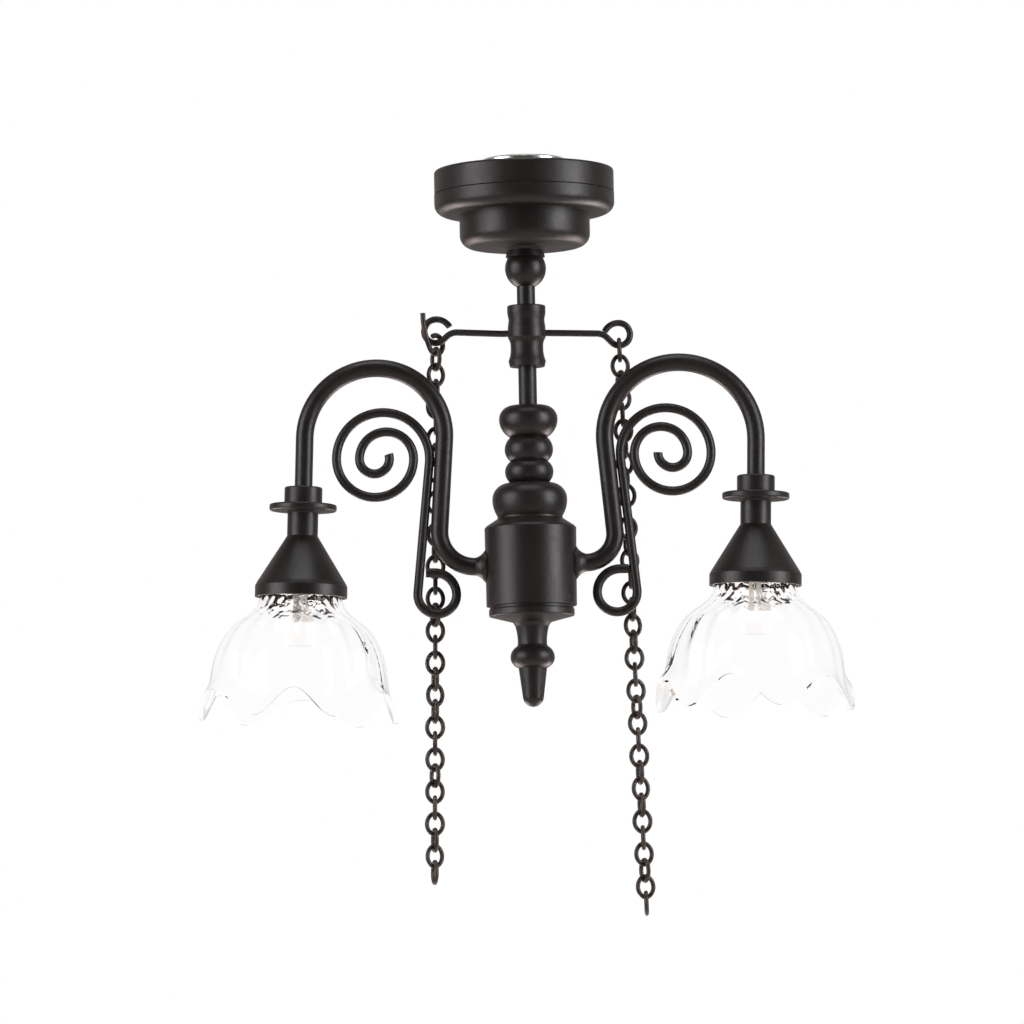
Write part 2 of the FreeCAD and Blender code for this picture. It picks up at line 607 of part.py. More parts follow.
def body_base():
    edge = d.base_edge
    body = turned_body("body_base", [
        (d.stem_hole, None), (d.base_spigot_radius, None),
        (d.base_spigot_radius, d.base_spigot_height),
        (d.base_groove_radius, d.base_spigot_height),
        (d.base_groove_radius, d.base_groove_depth),
        (d.base_ring_radius - edge, d.base_groove_depth, bulge(edge)),
        (d.base_ring_radius, d.base_groove_depth + edge),
        (d.base_ring_radius, d.base_ring_foot - edge, bulge(edge)),
        (d.base_ring_radius - edge, d.base_ring_foot),
        (d.base_cone_radius, d.base_height), (d.stem_hole, d.base_height)])
    place(body, "body_base", d.base_drop)


def finial():
    ring = chord_bend(d.finial_ring_radius - d.finial_ring_top,
                      d.finial_ring_depth - d.finial_ring_top_depth)
    ring_foot = chord_bend(d.finial_ring_radius - d.finial_ring_foot,
                           d.finial_ring_foot_depth - d.finial_ring_depth)
    end = chord_bend(d.finial_height - d.finial_tip_depth, d.finial_tip_radius)
    body = turned_body("finial", [
        (d.stem_hole, None), (d.finial_top_radius, None),
        (d.finial_shoulder_radius, d.finial_shoulder_depth, hollow(d.finial_hollow)),
        (d.finial_neck_radius, d.finial_neck_depth),
        (d.finial_ring_top, d.finial_ring_top_depth, bulge(ring)),
        (d.finial_ring_radius, d.finial_ring_depth, bulge(ring_foot)),
        (d.finial_ring_foot, d.finial_ring_foot_depth),
        (d.finial_tip_radius, d.finial_tip_depth, bulge(end)),
        (None, d.finial_height), (None, d.finial_bore_depth),
        (d.stem_hole, d.finial_bore_depth)])
    place(body, "finial", d.finial_drop)


# --- arms and scrolls ---

def arm_moves(side, start, spare=None):
    """The route that the arm tube and the lead inside it share; the lead ends further on."""
    square, lean = Size("90", 90.0), dim(side, "arm_lean")
    root = d.arm_start + dim(side, "root_run") - start
    down = dim(side, "down_run") + spare if spare else dim(side, "down_run")
    return [("run", root), ("left", dim(side, "root_bend"), square + lean),
            ("run", dim(side, "lean_run")), ("right", dim(side, "inner_bend"), square + lean),
            ("right", dim(side, "outer_bend"), square - dim(side, "socket_lean")), ("run", down)]


def arm(side, turn):
    """Arm tube with the flared solder at the drum."""
    body = new_body("arm_" + side)
    section = new_sketch(body, "solder", "XZ_Plane")
    outline(section, [
        (d.solder_start, d.solder_bore * -1), (d.solder_start, d.solder_radius * -1),
        (d.drum_radius, d.solder_radius * -1, hollow(d.solder_bend)),
        (d.solder_reach, d.arm_radius * -1), (d.solder_reach, d.solder_bore * -1)])
    flare = body.newObject("PartDesign::Revolution", "arm_%s_flare" % side)
    flare.Profile = section
    flare.ReferenceAxis = (section, ["H_Axis"])
    flare.Angle = 360
    drum = new_sketch(body, "drum", "XY_Plane")
    circle(drum, d.drum_radius)
    doc.recompute()
    before = body.Shape.Volume
    seat = body.newObject("PartDesign::Pocket", "arm_%s_seat" % side)
    seat.Profile = drum
    seat.SideType = "Symmetric"
    seat.Type = "ThroughAll"
    doc.recompute()
    if not body.Shape.Volume < before:
        raise ValueError("the seat of the solder flare cuts nothing")
    wire_body("arm_" + side, d.arm_start, arm_moves(side, d.arm_start),
              d.arm_radius, d.arm_bore, body=body)
    place(body, "arm_" + side, dim(side, "arm_drop"), turn=turn)


def arm_lead(side, turn):
    body = wire_body("arm_lead_" + side, d.arm_lead_start,
                     arm_moves(side, d.arm_lead_start, d.arm_lead_spare), d.lead_radius)
    place(body, "arm_lead_" + side, dim(side, "arm_drop"), turn=turn)


def scroll(side, turn):
    """Scroll wire: foot loop, stem beside the arm and the wide spiral under the arch."""
    square, half, lean = Size("90", 90.0), Size("180", 180.0), dim(side, "scroll_lean")
    moves = [("run", d.scroll_hook_run), ("left", dim(side, "hook_bend"), square),
             ("left", dim(side, "foot_bend"), half + lean), ("run", dim(side, "stem_run")),
             ("right", dim(side, "first_bend"), half + lean),
             ("right", dim(side, "second_bend"), half), ("right", dim(side, "third_bend"), half),
             ("right", dim(side, "fourth_bend"), dim(side, "tip_turn"))]
    body = wire_body("scroll_" + side, dim(side, "scroll_start"), moves, d.scroll_radius,
                     away_from_body=True)
    place(body, "scroll_" + side, dim(side, "scroll_drop"), turn=turn)


# --- sockets, lamps and shades ---

def ferrule(side):
    edge, far = d.ferrule_edge, d.ferrule_radius
    body = turned_body("ferrule_" + side, [
        (d.socket_bore, None), (far - edge, None), (far, edge),
        (far, d.ferrule_height), (d.socket_bore, d.ferrule_height)])
    place_on_arm(body, "ferrule_" + side, side)


def drip_saucer(side):
    edge, far, thick = d.saucer_edge, d.saucer_radius, d.saucer_thick
    body = turned_body("drip_saucer_" + side, [
        (d.socket_bore, None), (far - edge, None, bulge(edge)), (far, edge),
        (far, thick - edge, bulge(edge)), (far - edge, thick), (d.socket_bore, thick)])
    place_on_arm(body, "drip_saucer_" + side, side, d.saucer_below)


def socket_cup(side):
    inner = d.cup_radius - d.cup_wall
    band = d.cup_band_top + d.cup_wall
    body = turned_body("socket_cup_" + side, [
        (d.socket_bore, None), (d.cup_collar_radius, None), (d.cup_neck_radius, d.cup_neck_top),
        (d.cup_neck_radius, d.cup_neck_foot),
        (d.cup_radius - d.cup_edge, d.cup_band_top - d.cup_edge),
        (d.cup_radius, d.cup_band_top + d.cup_edge), (d.cup_radius, d.cup_height),
        (inner, d.cup_height), (inner, band), (d.cup_cone_bore_top, d.cup_neck_foot + d.cup_wall),
        (d.cup_throat_radius, d.cup_throat_foot), (d.cup_throat_radius, d.cup_throat_depth),
        (d.socket_bore, d.cup_throat_depth)])
    place_on_arm(body, "socket_cup_" + side, side, d.cup_below)


def lamp_plug(side):
    body = turned_body("lamp_plug_" + side, [
        (d.plug_hole, None), (d.plug_radius, None), (d.plug_radius, d.plug_height),
        (d.plug_hole, d.plug_height)])
    place_on_arm(body, "lamp_plug_" + side, side, d.plug_below)


def box(name, size_x, size_y, size_z, at_x, drop):
    """A block centred on the lamp's axis in Y, from the drop down."""
    block = doc.addObject("Part::Box", name)
    bind(block, "Length", size_x)
    bind(block, "Width", size_y)
    bind(block, "Height", size_z)
    bind(block, "Placement.Base.x", at_x)
    bind(block, "Placement.Base.y", size_y * -0.5)
    bind(block, "Placement.Base.z", (drop + size_z) * -1)
    return block


def lamp_leads(side):
    """Two square posts, one of them with the wide anvil inside the lens."""
    name = "lamp_%s_posts" % side
    width, gap = d.post_width, d.post_gap
    drop = d.post_rise * -1
    left = box(name + "_post", width, width, d.post_length, (gap * 0.5 + width) * -1, drop)
    right = box(name + "_stalk", width, width, d.post_length, gap * 0.5, drop)
    anvil = box(name + "_anvil", d.anvil_width, width, d.anvil_height, gap * 0.5,
                d.anvil_depth)
    wide = doc.addObject("Part::Fuse", name + "_wide")
    wide.Base, wide.Tool = right, anvil
    pair = doc.addObject("Part::Compound", name)
    pair.Links = [left, wide]
    return pair


def lamp(side):
    leads = lamp_leads(side)
    edge, far = d.lamp_edge, d.lamp_radius
    blank = turned_body("lamp_%s_blank" % side, [
        (None, None), (d.lamp_flange_radius, None), (d.lamp_flange_radius, d.lamp_flange_height),
        (far, d.lamp_flange_height), (far, d.lamp_length - edge, bulge(edge)),
        (far - edge, d.lamp_length), (None, d.lamp_length)])
    lens = doc.addObject("Part::Cut", "lamp_" + side)
    lens.Base, lens.Tool = blank, leads
    place_on_arm(lens, "lamp_" + side, side, d.lamp_below)
    twin = doc.addObject("App::Link", "lamp_leads_%s_set" % side)
    twin.LinkedObject = leads
    place_on_arm(twin, "lamp_leads_" + side, side, d.lamp_below)


def shade_radius(share, angle, wave, inset):
    """Radius of the glass at a share of the way down, an angle from a valley and a wave's height."""
    for (low, near), (high, wide) in zip(SHADE_PROFILE, SHADE_PROFILE[1:]):
        if share <= high:
            part = (share - low) / (high - low)
            radius = near + (wide - near) * part
            break
    flare = SHADE_RIM_SPREAD * share ** 6 * wave
    swell = math.sin(math.pi * min(1.0, max(0.0, (share - 0.08) / 0.92)) ** 0.7)
    flute = d.shade_flute.value * swell * math.cos(SHADE_FLUTES * angle)
    return radius + flare + flute - inset


def shade_ring(side, share, inset):
    """One closed curve round the glass at a share of the way from neck to rim."""
    count = SHADE_FLUTES * 6
    points = []
    for index in range(count):
        angle = 2 * math.pi * index / count
        lobe = angle - math.radians(SHADE_VALLEY[side])
        skew = SHADE_SKEW[side] * math.sin(SHADE_LOBES / 2 * lobe)
        wave = -math.cos(SHADE_LOBES * lobe + skew)
        depth = (d.shade_height.value + dim(side, "shade_wave").value * wave * share ** 2) * share
        radius = shade_radius(share, lobe, wave, inset)
        points.append(Vector(radius * math.cos(angle), radius * math.sin(angle), -depth))
    curve = Part.BSplineCurve()
    curve.interpolate(Points=points, PeriodicFlag=True)
    return Part.Wire([curve.toShape()])


def shade(side):
    """Fluted glass with a waved rim: an outer and an inner skin joined by two edge bands."""
    shares = [0.0, 0.04, 0.08, 0.12, 0.17, 0.24, 0.33, 0.46, 0.6, 0.72, 0.82, 0.9, 0.96, 1.0]
    outer = [shade_ring(side, share, 0.0) for share in shares]
    inner = [shade_ring(side, share, d.shade_wall.value) for share in shares]
    skins = [Part.makeLoft(rings, False, False) for rings in (outer, inner)]
    bands = [Part.makeRuledSurface(outer[end], inner[end]) for end in (0, -1)]
    faces = [face for skin in skins + bands for face in skin.Faces]
    shell = Part.makeShell(faces)
    shell.sewShape()
    glass = Part.makeSolid(shell)
    if glass.Volume < 0:
        glass.reverse()
    item = doc.addObject("Part::Feature", "shade_" + side)
    item.Shape = glass
    place_on_arm(item, "shade_" + side, side, d.shade_below)


# --- chains ---

def chain_link():
    """The oval link that every stretch repeats, round its own middle in the XZ plane."""
    body = new_body("chain_link")
    path = new_sketch(body, "path", "XZ_Plane")
    side, end = d.link_side_bend, d.link_end_bend
    wire_path(path, Vector(d.link_half_width.value, 0, 0), 90.0,
              [("left", side, d.link_side_turn), ("left", end, d.link_end_turn),
               ("left", side, d.link_side_turn * 2), ("left", end, d.link_end_turn),
               ("left", side, d.link_side_turn)])
    start = ends(path, 0, Vector(d.link_half_width.value, 0, 0))[0]
    path.addConstraint(Sketcher.Constraint("PointOnObject", 0, 3, -1))
    path.addConstraint(Sketcher.Constraint("PointOnObject", 0, start, -1))
    hold(path, "DistanceX", (-1, 1, 0, start), d.link_half_width)
    add_round(body, path, 5, d.link_wire_radius, d.link_half_width, None)
    return body


def open_ring():
    """The opened ring above the first left link: a long leg, then most of a circle."""
    body = new_body("open_ring")
    path = new_sketch(body, "path", "XZ_Plane")
    tip = Vector(-d.ring_leg_across.value, d.ring_leg_height.value, 0)
    wire_path(path, tip, -90.0, [("left", d.ring_leg_bend, d.ring_leg_turn),
                                 ("left", d.ring_bend, d.ring_turn)])
    start = ends(path, 0, tip)[0]
    path.addConstraint(Sketcher.Constraint("Horizontal", 0, 3, 0, start))
    hold(path, "DistanceX", (0, start, -1, 1), d.ring_leg_across)
    hold(path, "DistanceY", (-1, 1, 0, start), d.ring_leg_height)
    add_round(body, path, 2, d.ring_wire_radius, d.ring_leg_across * -1, d.ring_leg_height)
    return body


def add_round(body, path, edges, radius, across, height):
    """Sweep the round of a chain wire along a path; the round lies flat at a height."""
    section = new_sketch(body, "round", "XY_Plane", height)
    ring = section.addGeometry(Part.Circle(Vector(across.value, 0, 0), Vector(0, 0, 1),
                                           radius.value))
    section.addConstraint(Sketcher.Constraint("PointOnObject", ring, 3, -1))
    hold(section, "DistanceX", (-1, 1, ring, 3), across)
    hold(section, "Radius", (ring,), radius)
    pipe = body.newObject("PartDesign::AdditivePipe", body.Name + "_pipe")
    pipe.Profile = section
    pipe.Spine = (path, ["Edge%d" % (index + 1) for index in range(edges)])


def chain(side, sign, link, ring):
    """Stretches of separate links, each standing square to the next, down one side."""
    index, pitch, splay = 0, dim(side, "link_pitch"), dim(side, "chain_splay")
    lean = Rotation(Vector(0, 1, 0), -sign * math.degrees(math.atan(splay.value)))
    for stretch, count in enumerate(STRETCHES[side], start=1):
        name = "chain_%s_%d" % (side, stretch)
        copies = []
        for index, twist in zip(range(index, index + count), TWIST):
            opened = side == "left" and index == 0
            copy = doc.addObject("App::Link", "%s_link_%d" % (name, index + 1))
            copy.LinkedObject = ring if opened else link
            turn = FIRST_TURN[side] + 90.0 * (index % 2) + twist
            if side == "left" and index < 2:
                turn = (RING_TURN, SECOND_TURN)[index]
            stand = Rotation(Vector(0, 0, 1), turn)
            copy.Placement = Placement(Vector(0, 0, 0), stand if opened else lean * stand)
            drop = d.ring_drop if opened else dim(side, "link_drop") + pitch * index
            bind(copy, "Placement.Base.z", drop * -1)
            if not opened:
                bind(copy, "Placement.Base.x",
                     (drop - dim(side, "chain_top")) * splay * sign)
            copies.append(copy)
        index += 1
        group = doc.addObject("Part::Compound", name)
        group.Links = copies
        place(group, name, across=dim(side, "chain_reach"), sign=sign)
        bind(group, "Placement.Base.y", d.chain_back)


def build():
    ceiling_magnet()
    battery_cap()
    cap_contact()
    coin_cell()
    battery_tray()
    tray_contact()
    canopy_dish()
    stem_tube()
    stem_nut()
    plain_tube("stem_washer", d.washer_radius, d.washer_bore, d.washer_height, d.washer_drop)
    stem_contact()
    plain_rod("stem_lead", d.lead_radius, d.lead_end_drop - d.lead_drop, d.lead_drop)
    plain_rod("lead_splice", d.splice_radius, d.splice_height, d.lead_end_drop)
    canopy_collar()
    stem_ball()
    crossbar_hub()
    for name in BEADS:
        column_bead(name)
    body_drum()
    body_base()
    finial()
    link, ring = chain_link(), open_ring()
    for side, sign in SIDES.items():
        turn = 0.0 if sign > 0 else 180.0
        crossbar(side)
        arm(side, turn)
        arm_lead(side, turn)
        scroll(side, turn)
        ferrule(side)
        drip_saucer(side)
        socket_cup(side)
        lamp_plug(side)
        lamp(side)
        shade(side)
        chain(side, sign, link, ring)
    doc.recompute()


def check():
    """Stop before anything is written if an object failed or a sub-part is not sound."""
    for item in doc.Objects:
        if {"Invalid", "Error"} & set(item.State):
            raise ValueError("%s did not recompute: %s" % (item.Name, item.State))
    labels = [item.Label for item in nodes]
    if len(set(labels)) != len(labels):
        raise ValueError("two sub-parts share a label")
    for item in nodes:
        shape = item.Shape
        if shape.isNull() or not shape.isValid() or not shape.Solids or shape.Volume <= 0:
            raise ValueError("%s is not a sound solid" % item.Label)


def write():
    os.makedirs("parts", exist_ok=True)
    for item in nodes:
        item.Shape.exportStep("parts/%s.step" % item.Label)
    print("%d nodes" % len(nodes))


build()
check()
write()
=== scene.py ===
"""Looks of a dolls house ceiling light: black paint, clear fluted shades, hanging chains."""

import json
import math

import bpy
from mathutils import Matrix, Vector

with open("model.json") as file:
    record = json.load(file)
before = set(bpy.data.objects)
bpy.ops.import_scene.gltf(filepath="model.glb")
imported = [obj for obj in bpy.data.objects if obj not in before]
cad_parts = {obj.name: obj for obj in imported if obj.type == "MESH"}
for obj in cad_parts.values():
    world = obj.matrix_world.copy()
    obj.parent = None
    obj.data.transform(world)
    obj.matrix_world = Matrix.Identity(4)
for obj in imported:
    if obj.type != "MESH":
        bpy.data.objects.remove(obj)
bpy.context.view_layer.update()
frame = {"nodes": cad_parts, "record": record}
nodes = frame["nodes"]


# --- camera: level with the lamp, a little below it, turned slightly, with a long lens ---

ELEVATION = math.radians(-5.5)
ROLL = math.radians(1.05)
LENS = 250.0                        # millimetres, on a sensor of SENSOR millimetres
SENSOR = 36.0
PIXELS_PER_METRE = 9620.0           # at the lamp's axis
FRAME_PIXELS = 1024.0
AXIS_POINT = Vector((0.0, 0.0, -0.03697))
AXIS_OFFSET_PIXELS = 18.0           # how far the axis stands right of the picture's middle
CLIP = (0.01, 20.0)

toward = Vector((0.0, math.cos(ELEVATION), -math.sin(ELEVATION)))
level_up = Vector((0.0, math.sin(ELEVATION), math.cos(ELEVATION)))
right = Vector((1.0, 0.0, 0.0)) * math.cos(ROLL) - level_up * math.sin(ROLL)
up = Vector((1.0, 0.0, 0.0)) * math.sin(ROLL) + level_up * math.cos(ROLL)

camera_data = bpy.data.cameras.new("camera")
camera_data.lens = LENS
camera_data.sensor_width = SENSOR
distance = FRAME_PIXELS / PIXELS_PER_METRE * LENS / SENSOR
camera_data.clip_start, camera_data.clip_end = CLIP
camera = bpy.data.objects.new("camera", camera_data)
bpy.context.scene.collection.objects.link(camera)
aim = AXIS_POINT - right * (AXIS_OFFSET_PIXELS / PIXELS_PER_METRE)
place = aim - toward * distance
camera.matrix_world = Matrix((
    (right.x, up.x, -toward.x, place.x),
    (right.y, up.y, -toward.y, place.y),
    (right.z, up.z, -toward.z, place.z),
    (0.0, 0.0, 0.0, 1.0)))
bpy.context.scene.camera = camera
bpy.context.scene.view_settings.view_transform = "Standard"


# --- studio ---

ROOM = 0.035                        # brightness of the room on the camera's side
BACKDROP = 0.46                     # brightness of the backdrop that grazing edges reflect
BACKDROP_START, BACKDROP_FULL = 0.1, 0.8    # how far a ray turns to +Y to meet the backdrop
GLEAM = 0.2                        # brightness of what smooth glass mirrors

SOFTBOX_REACH = 0.5
# name, azimuth, elevation, width, height, power, colour. Azimuth 0 is the camera's side,
# + is to its right. The low pair stands behind and lights the undersides.
SOFTBOXES = [
    ("softbox_left", -64.0, 8.0, 0.31, 0.42, 1.25, (1.0, 0.97, 0.965)),
    ("softbox_right", 65.0, 10.0, 0.20, 0.42, 1.65, (1.0, 0.98, 0.985)),
    ("softbox_top", 0.0, 78.0, 0.35, 0.25, 0.6, (1.0, 1.0, 1.0)),
    ("softbox_low_left", -140.0, -40.0, 0.3, 0.25, 1.5, (1.0, 0.84, 0.81)),
    ("softbox_low_right", 140.0, -40.0, 0.3, 0.25, 1.5, (1.0, 0.84, 0.81)),
]


def softbox(name, azimuth, elevation, width, height, power, colour):
    """A rectangular light that faces the lamp."""
    data = bpy.data.lights.new(name, "AREA")
    data.shape, data.size, data.size_y = "RECTANGLE", width, height
    data.energy, data.color = power, colour
    lamp = bpy.data.objects.new(name, data)
    bpy.context.scene.collection.objects.link(lamp)
    a, e = math.radians(azimuth), math.radians(elevation)
    away = Vector((math.sin(a) * math.cos(e), -math.cos(a) * math.cos(e), math.sin(e)))
    lamp.location = AXIS_POINT + away * SOFTBOX_REACH
    lamp.rotation_mode = "QUATERNION"
    lamp.rotation_quaternion = away.to_track_quat("Z", "Y")
    lamp.visible_camera = False


for row in SOFTBOXES:
    softbox(*row)

world = bpy.data.worlds.new("studio")
bpy.context.scene.world = world
world.use_nodes = True
tree = world.node_tree
tree.nodes.clear()
out = tree.nodes.new("ShaderNodeOutputWorld")
shown = tree.nodes.new("ShaderNodeBackground")
shown.inputs["Color"].default_value = (1.0, 1.0, 1.0, 1.0)
lit = tree.nodes.new("ShaderNodeBackground")
lit.inputs["Color"].default_value = (1.0, 0.93, 0.91, 1.0)
path = tree.nodes.new("ShaderNodeLightPath")
heading = tree.nodes.new("ShaderNodeTexCoord")
axes = tree.nodes.new("ShaderNodeSeparateXYZ")
ramp = tree.nodes.new("ShaderNodeMapRange")
ramp.interpolation_type = "SMOOTHSTEP"
for socket, value in (("From Min", BACKDROP_START), ("From Max", BACKDROP_FULL),
                      ("To Min", ROOM), ("To Max", BACKDROP)):
    ramp.inputs[socket].default_value = value
tree.links.new(heading.outputs["Generated"], axes.inputs[0])
tree.links.new(axes.outputs["Y"], ramp.inputs["Value"])
mirrored = tree.nodes.new("ShaderNodeMix")
mirrored.data_type = "FLOAT"
tree.links.new(path.outputs["Is Singular Ray"], mirrored.inputs["Factor"])
tree.links.new(ramp.outputs["Result"], mirrored.inputs["A"])
mirrored.inputs["B"].default_value = GLEAM
tree.links.new(mirrored.outputs["Result"], lit.inputs["Strength"])


def arithmetic(operation, one, other):
    made = tree.nodes.new("ShaderNodeMath")
    made.operation, made.use_clamp = operation, True
    tree.links.new(one, made.inputs[0])
    tree.links.new(other, made.inputs[1])
    return made.outputs[0]


# What is seen directly or through glass is the white backdrop; paint and metal see a dim room.
scattered = arithmetic("MAXIMUM", path.outputs["Is Glossy Ray"], path.outputs["Is Diffuse Ray"])
through = arithmetic("ADD", path.outputs["Is Transmission Ray"], path.outputs["Transparent Depth"])
mix = tree.nodes.new("ShaderNodeMixShader")
tree.links.new(arithmetic("SUBTRACT", scattered, through), mix.inputs["Fac"])
tree.links.new(shown.outputs[0], mix.inputs[1])
tree.links.new(lit.outputs[0], mix.inputs[2])
tree.links.new(mix.outputs[0], out.inputs["Surface"])


# --- materials ---

MICRON = 0.000001
MOST = (0.3, 0.7)                   # most of a noise's values lie between these


class Shader:
    """A Principled material and short calls for the nodes that feed it."""

    def __init__(self, name, **fixed):
        self.material = bpy.data.materials.new(name)
        self.material.use_nodes = True
        self.tree = self.material.node_tree
        self.tree.nodes.clear()
        self.output = self.tree.nodes.new("ShaderNodeOutputMaterial")
        self.surface = self.tree.nodes.new("ShaderNodeBsdfPrincipled")
        self.tree.links.new(self.surface.outputs[0], self.output.inputs["Surface"])
        coordinates = self.tree.nodes.new("ShaderNodeTexCoord")
        self.where = coordinates.outputs["Object"]
        self.share = coordinates.outputs["Generated"]
        for socket, value in fixed.items():
            self.surface.inputs[socket.replace("_", " ")].default_value = value

    def link(self, source, socket):
        self.tree.links.new(source, self.surface.inputs[socket])

    def node(self, kind, **settings):
        made = self.tree.nodes.new(kind)
        for name, value in settings.items():
            setattr(made, name, value)
        return made

    def stretched(self, scale):
        mapping = self.node("ShaderNodeMapping")
        mapping.inputs["Scale"].default_value = scale
        self.tree.links.new(self.where, mapping.inputs["Vector"])
        return mapping.outputs[0]

    def noise(self, per_mm, detail=2.0, rough=0.5, scale=(1.0, 1.0, 1.0)):
        """Noise with so many lumps to the millimetre."""
        made = self.node("ShaderNodeTexNoise")
        made.inputs["Scale"].default_value = per_mm * 1000.0
        made.inputs["Detail"].default_value = detail
        made.inputs["Roughness"].default_value = rough
        self.tree.links.new(self.stretched(scale), made.inputs["Vector"])
        return made.outputs["Fac"]

    def spread(self, source, low, high, out_low=0.0, out_high=1.0):
        made = self.node("ShaderNodeMapRange", clamp=True)
        for socket, value in zip(("From Min", "From Max", "To Min", "To Max"),
                                 (low, high, out_low, out_high)):
            made.inputs[socket].default_value = value
        self.tree.links.new(source, made.inputs["Value"])
        return made.outputs["Result"]

    def rise(self, low, high):
        """0 below and 1 above a span of the piece's own height."""
        axes = self.node("ShaderNodeSeparateXYZ")
        self.tree.links.new(self.share, axes.inputs[0])
        return self.spread(axes.outputs["Z"], low, high)

    def sum(self, one, other, operation="ADD"):
        made = self.node("ShaderNodeMath", operation=operation)
        for index, source in enumerate((one, other)):
            if isinstance(source, float):
                made.inputs[index].default_value = source
            else:
                self.tree.links.new(source, made.inputs[index])
        return made.outputs[0]

    def blend(self, factor, low, high):
        made = self.node("ShaderNodeMix", data_type="RGBA")
        self.tree.links.new(factor, made.inputs["Factor"])
        for socket, colour in ((made.inputs[6], low), (made.inputs[7], high)):
            if isinstance(colour, tuple):
                socket.default_value = (*colour, 1.0)
            else:
                self.tree.links.new(colour, socket)
        return made.outputs[2]

    def edges(self, radius):
        """How far the rounded normal leaves the true one: 0 on flats, towards 1 on sharp edges."""
        rounded = self.node("ShaderNodeBevel", samples=4)
        rounded.inputs["Radius"].default_value = radius
        true = self.node("ShaderNodeNewGeometry")
        compare = self.node("ShaderNodeVectorMath", operation="DOT_PRODUCT")
        self.tree.links.new(rounded.outputs[0], compare.inputs[0])
        self.tree.links.new(true.outputs["Normal"], compare.inputs[1])
        return self.spread(compare.outputs["Value"], 0.97, 0.72)

    def bump(self, height, depth, round_edges=None):
        made = self.node("ShaderNodeBump")
        made.inputs["Distance"].default_value = depth
        made.inputs["Strength"].default_value = 1.0
        self.tree.links.new(height, made.inputs["Height"])
        if round_edges:
            rounded = self.node("ShaderNodeBevel", samples=4)
            rounded.inputs["Radius"].default_value = round_edges
            self.tree.links.new(rounded.outputs[0], made.inputs["Normal"])
        self.link(made.outputs[0], "Normal")


def black_paint():
    """Satin paint with orange peel and dust, worn a little on sharp edges."""
    made = Shader("black_paint", Metallic=0.0, IOR=1.5)
    cloud = made.noise(0.35, 3.0)
    peel = made.noise(2.6, 2.0)
    dust = made.noise(9.0, 2.0, 0.7)
    worn = made.sum(made.edges(90 * MICRON), made.spread(made.noise(1.3, 3.0), 0.52, 0.7),
                    "MULTIPLY")
    colour = made.blend(cloud, (0.0075, 0.0053, 0.0051), (0.0115, 0.0088, 0.008))
    colour = made.blend(made.spread(dust, 0.66, 0.78, 0.0, 0.35), colour, (0.06, 0.055, 0.052))
    colour = made.blend(worn, colour, (0.09, 0.08, 0.075))
    made.link(colour, "Base Color")
    rough = made.sum(made.spread(cloud, *MOST, 0.37, 0.45), made.spread(peel, *MOST, -0.02, 0.03))
    made.link(rough, "Roughness")
    made.bump(made.sum(peel, made.sum(dust, 0.15, "MULTIPLY")), 12 * MICRON, 60 * MICRON)
    return made.material


def chain_wire():
    """Darkened drawn wire, brighter on its edges."""
    made = Shader("chain", Metallic=0.35, IOR=1.5)
    cloud = made.noise(0.9, 3.0)
    drawn = made.noise(6.0, 2.0)
    colour = made.blend(made.spread(cloud, 0.35, 0.7), (0.035, 0.028, 0.026), (0.085, 0.068, 0.06))
    colour = made.blend(made.edges(50 * MICRON), colour, (0.12, 0.10, 0.09))
    made.link(colour, "Base Color")
    made.link(made.spread(cloud, *MOST, 0.30, 0.46), "Roughness")
    made.bump(drawn, 8 * MICRON)
    return made.material


def glass(name, colour, index, rough, depth, turns, neck=0.0):
    """Clear glass: depth is its waves' height in metres, neck how much deeper the neck's are."""
    made = Shader(name, IOR=index)
    made.surface.inputs["Transmission Weight"].default_value = 1.0
    made.surface.inputs["Base Color"].default_value = (*colour, 1.0)
    made.link(made.spread(made.noise(0.5, 2.0), *MOST, rough, rough * 2.0), "Roughness")
    ripple = made.sum(made.rise(0.7, 0.86), made.noise(1.2, 1.0, 0.5, (1.0, 1.0, 0.2)), "MULTIPLY")
    made.bump(made.sum(made.noise(0.35, 2.0), made.sum(ripple, neck, "MULTIPLY")), depth)
    # After so many turns the light goes straight on, as if through a perfectly even far wall.
    depth_so_far = made.node("ShaderNodeLightPath").outputs["Ray Depth"]
    caught = made.sum(depth_so_far, turns, "GREATER_THAN")
    clear = made.node("ShaderNodeBsdfTransparent")
    either = made.node("ShaderNodeMixShader")
    made.tree.links.new(caught, either.inputs["Fac"])
    made.tree.links.new(made.surface.outputs[0], either.inputs[1])
    made.tree.links.new(clear.outputs[0], either.inputs[2])
    made.tree.links.new(either.outputs[0], made.output.inputs["Surface"])
    return made.material


def metal(name, dark, light, rough, per_mm=1.5, metallic=1.0):
    """Bare metal, clouded between two colours."""
    made = Shader(name, Metallic=metallic)
    cloud = made.noise(per_mm, 3.0)
    made.link(made.blend(cloud, dark, light), "Base Color")
    made.link(made.spread(cloud, *MOST, rough, rough + 0.12), "Roughness")
    made.bump(made.noise(per_mm * 6.0, 2.0), 4 * MICRON, 40 * MICRON)
    return made.material


def plastic(name, dark, light, rough):
    """Moulded plastic or enamel, clouded between two colours."""
    made = Shader(name, IOR=1.46)
    cloud = made.noise(0.8, 3.0)
    made.link(made.blend(cloud, dark, light), "Base Color")
    made.link(made.spread(cloud, *MOST, rough, rough + 0.1), "Roughness")
    made.bump(made.noise(5.0, 2.0), 8 * MICRON, 50 * MICRON)
    return made.material


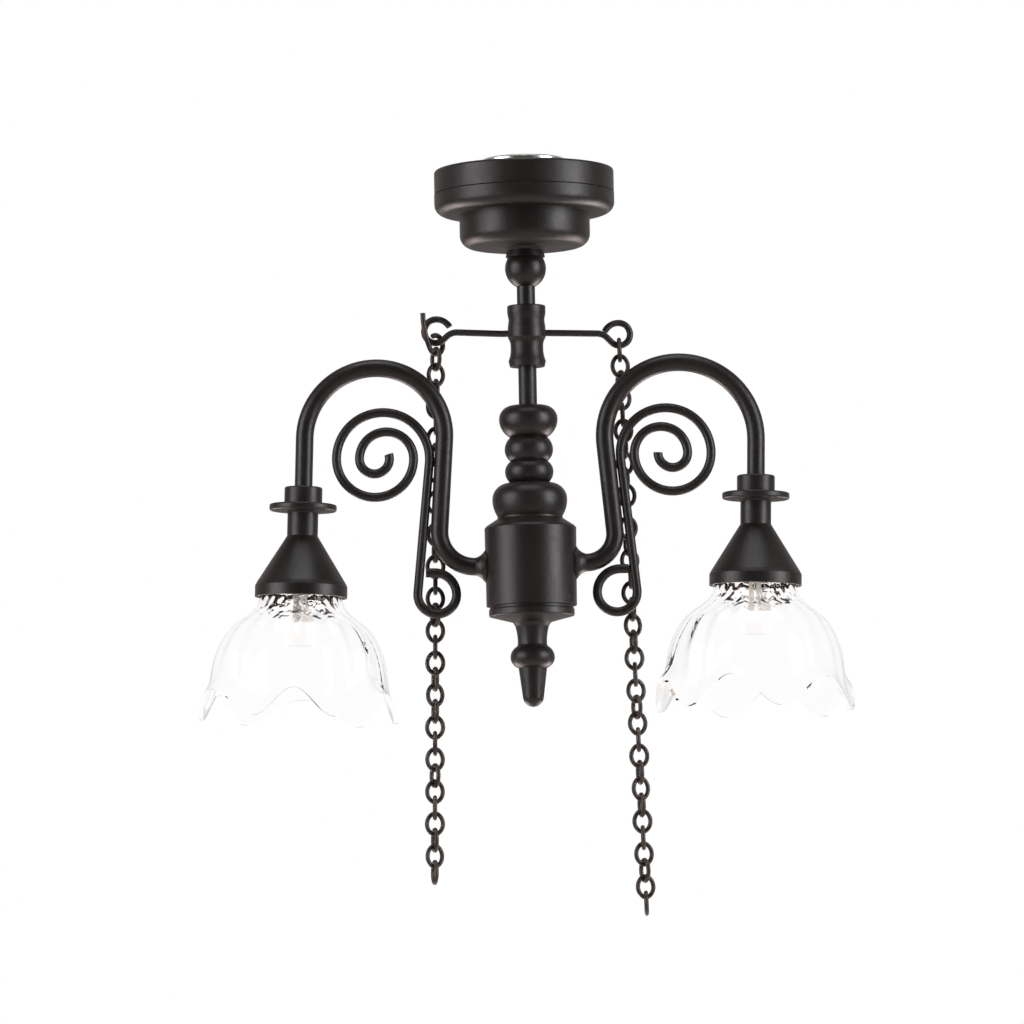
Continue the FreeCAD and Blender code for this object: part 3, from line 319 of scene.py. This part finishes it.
finishes = {
    "black_paint": black_paint(),
    "chain": chain_wire(),
    "shade_glass": glass("shade_glass", (0.998, 0.99, 0.99), index=1.24, rough=0.005,
                         depth=8 * MICRON, turns=1.5, neck=45.0),
    "lamp_epoxy": glass("lamp_epoxy", (0.985, 0.975, 0.965), index=1.17, rough=0.006,
                        depth=6 * MICRON, turns=4.5),
    "lamp_wire": metal("lamp_wire", (0.5, 0.45, 0.42), (0.97, 0.93, 0.88), 0.45,
                       per_mm=3.0, metallic=0.35),
    "white_plastic": plastic("white_plastic", (0.78, 0.76, 0.72), (0.86, 0.85, 0.82), 0.45),
    "black_plastic": plastic("black_plastic", (0.012, 0.012, 0.013), (0.02, 0.02, 0.022), 0.42),
    "lead_enamel": plastic("lead_enamel", (0.3, 0.06, 0.03), (0.42, 0.1, 0.05), 0.3),
    "contact_brass": metal("contact_brass", (0.7, 0.5, 0.24), (0.82, 0.64, 0.34), 0.28),
    "cell_steel": metal("cell_steel", (0.55, 0.55, 0.54), (0.7, 0.7, 0.69), 0.25, per_mm=0.8),
    "magnet_nickel": metal("magnet_nickel", (0.86, 0.85, 0.82), (0.95, 0.94, 0.92), 0.2,
                           per_mm=0.6),
}
for part in frame["record"]["subparts"]:
    node = nodes[part["node"]]
    node.data.materials.clear()
    node.data.materials.append(finishes[part["material_slot"]])


# --- floor, far below the lamp ---

FLOOR_HALF, FLOOR_DROP = 6.0, 0.4

floor_mesh = bpy.data.meshes.new("floor")
corners = [(x * FLOOR_HALF, y * FLOOR_HALF, 0.0) for x, y in ((-1, -1), (1, -1), (1, 1), (-1, 1))]
floor_mesh.from_pydata(corners, [], [(0, 1, 2, 3)])
floor = bpy.data.objects.new("floor", floor_mesh)
floor.location.z = -FLOOR_DROP
bpy.context.scene.collection.objects.link(floor)
pale = Shader("floor_pale", Roughness=0.9)
tint = pale.blend(pale.noise(0.02, 2.0), (0.86, 0.86, 0.85), (0.9, 0.9, 0.89))
pale.link(tint, "Base Color")
# Like the backdrop, the floor is bright where it is seen and dim where paint mirrors it.
seen = pale.node("ShaderNodeLightPath")
direct = pale.sum(pale.sum(seen.outputs["Is Camera Ray"], seen.outputs["Is Transmission Ray"]),
                  seen.outputs["Transparent Depth"])
glow = pale.node("ShaderNodeEmission")
pale.tree.links.new(tint, glow.inputs["Color"])
shown_floor = pale.node("ShaderNodeMixShader")
pale.tree.links.new(direct, shown_floor.inputs["Fac"])
pale.tree.links.new(pale.surface.outputs[0], shown_floor.inputs[1])
pale.tree.links.new(glow.outputs[0], shown_floor.inputs[2])
pale.tree.links.new(shown_floor.outputs[0], pale.output.inputs["Surface"])
floor_mesh.materials.append(pale.material)
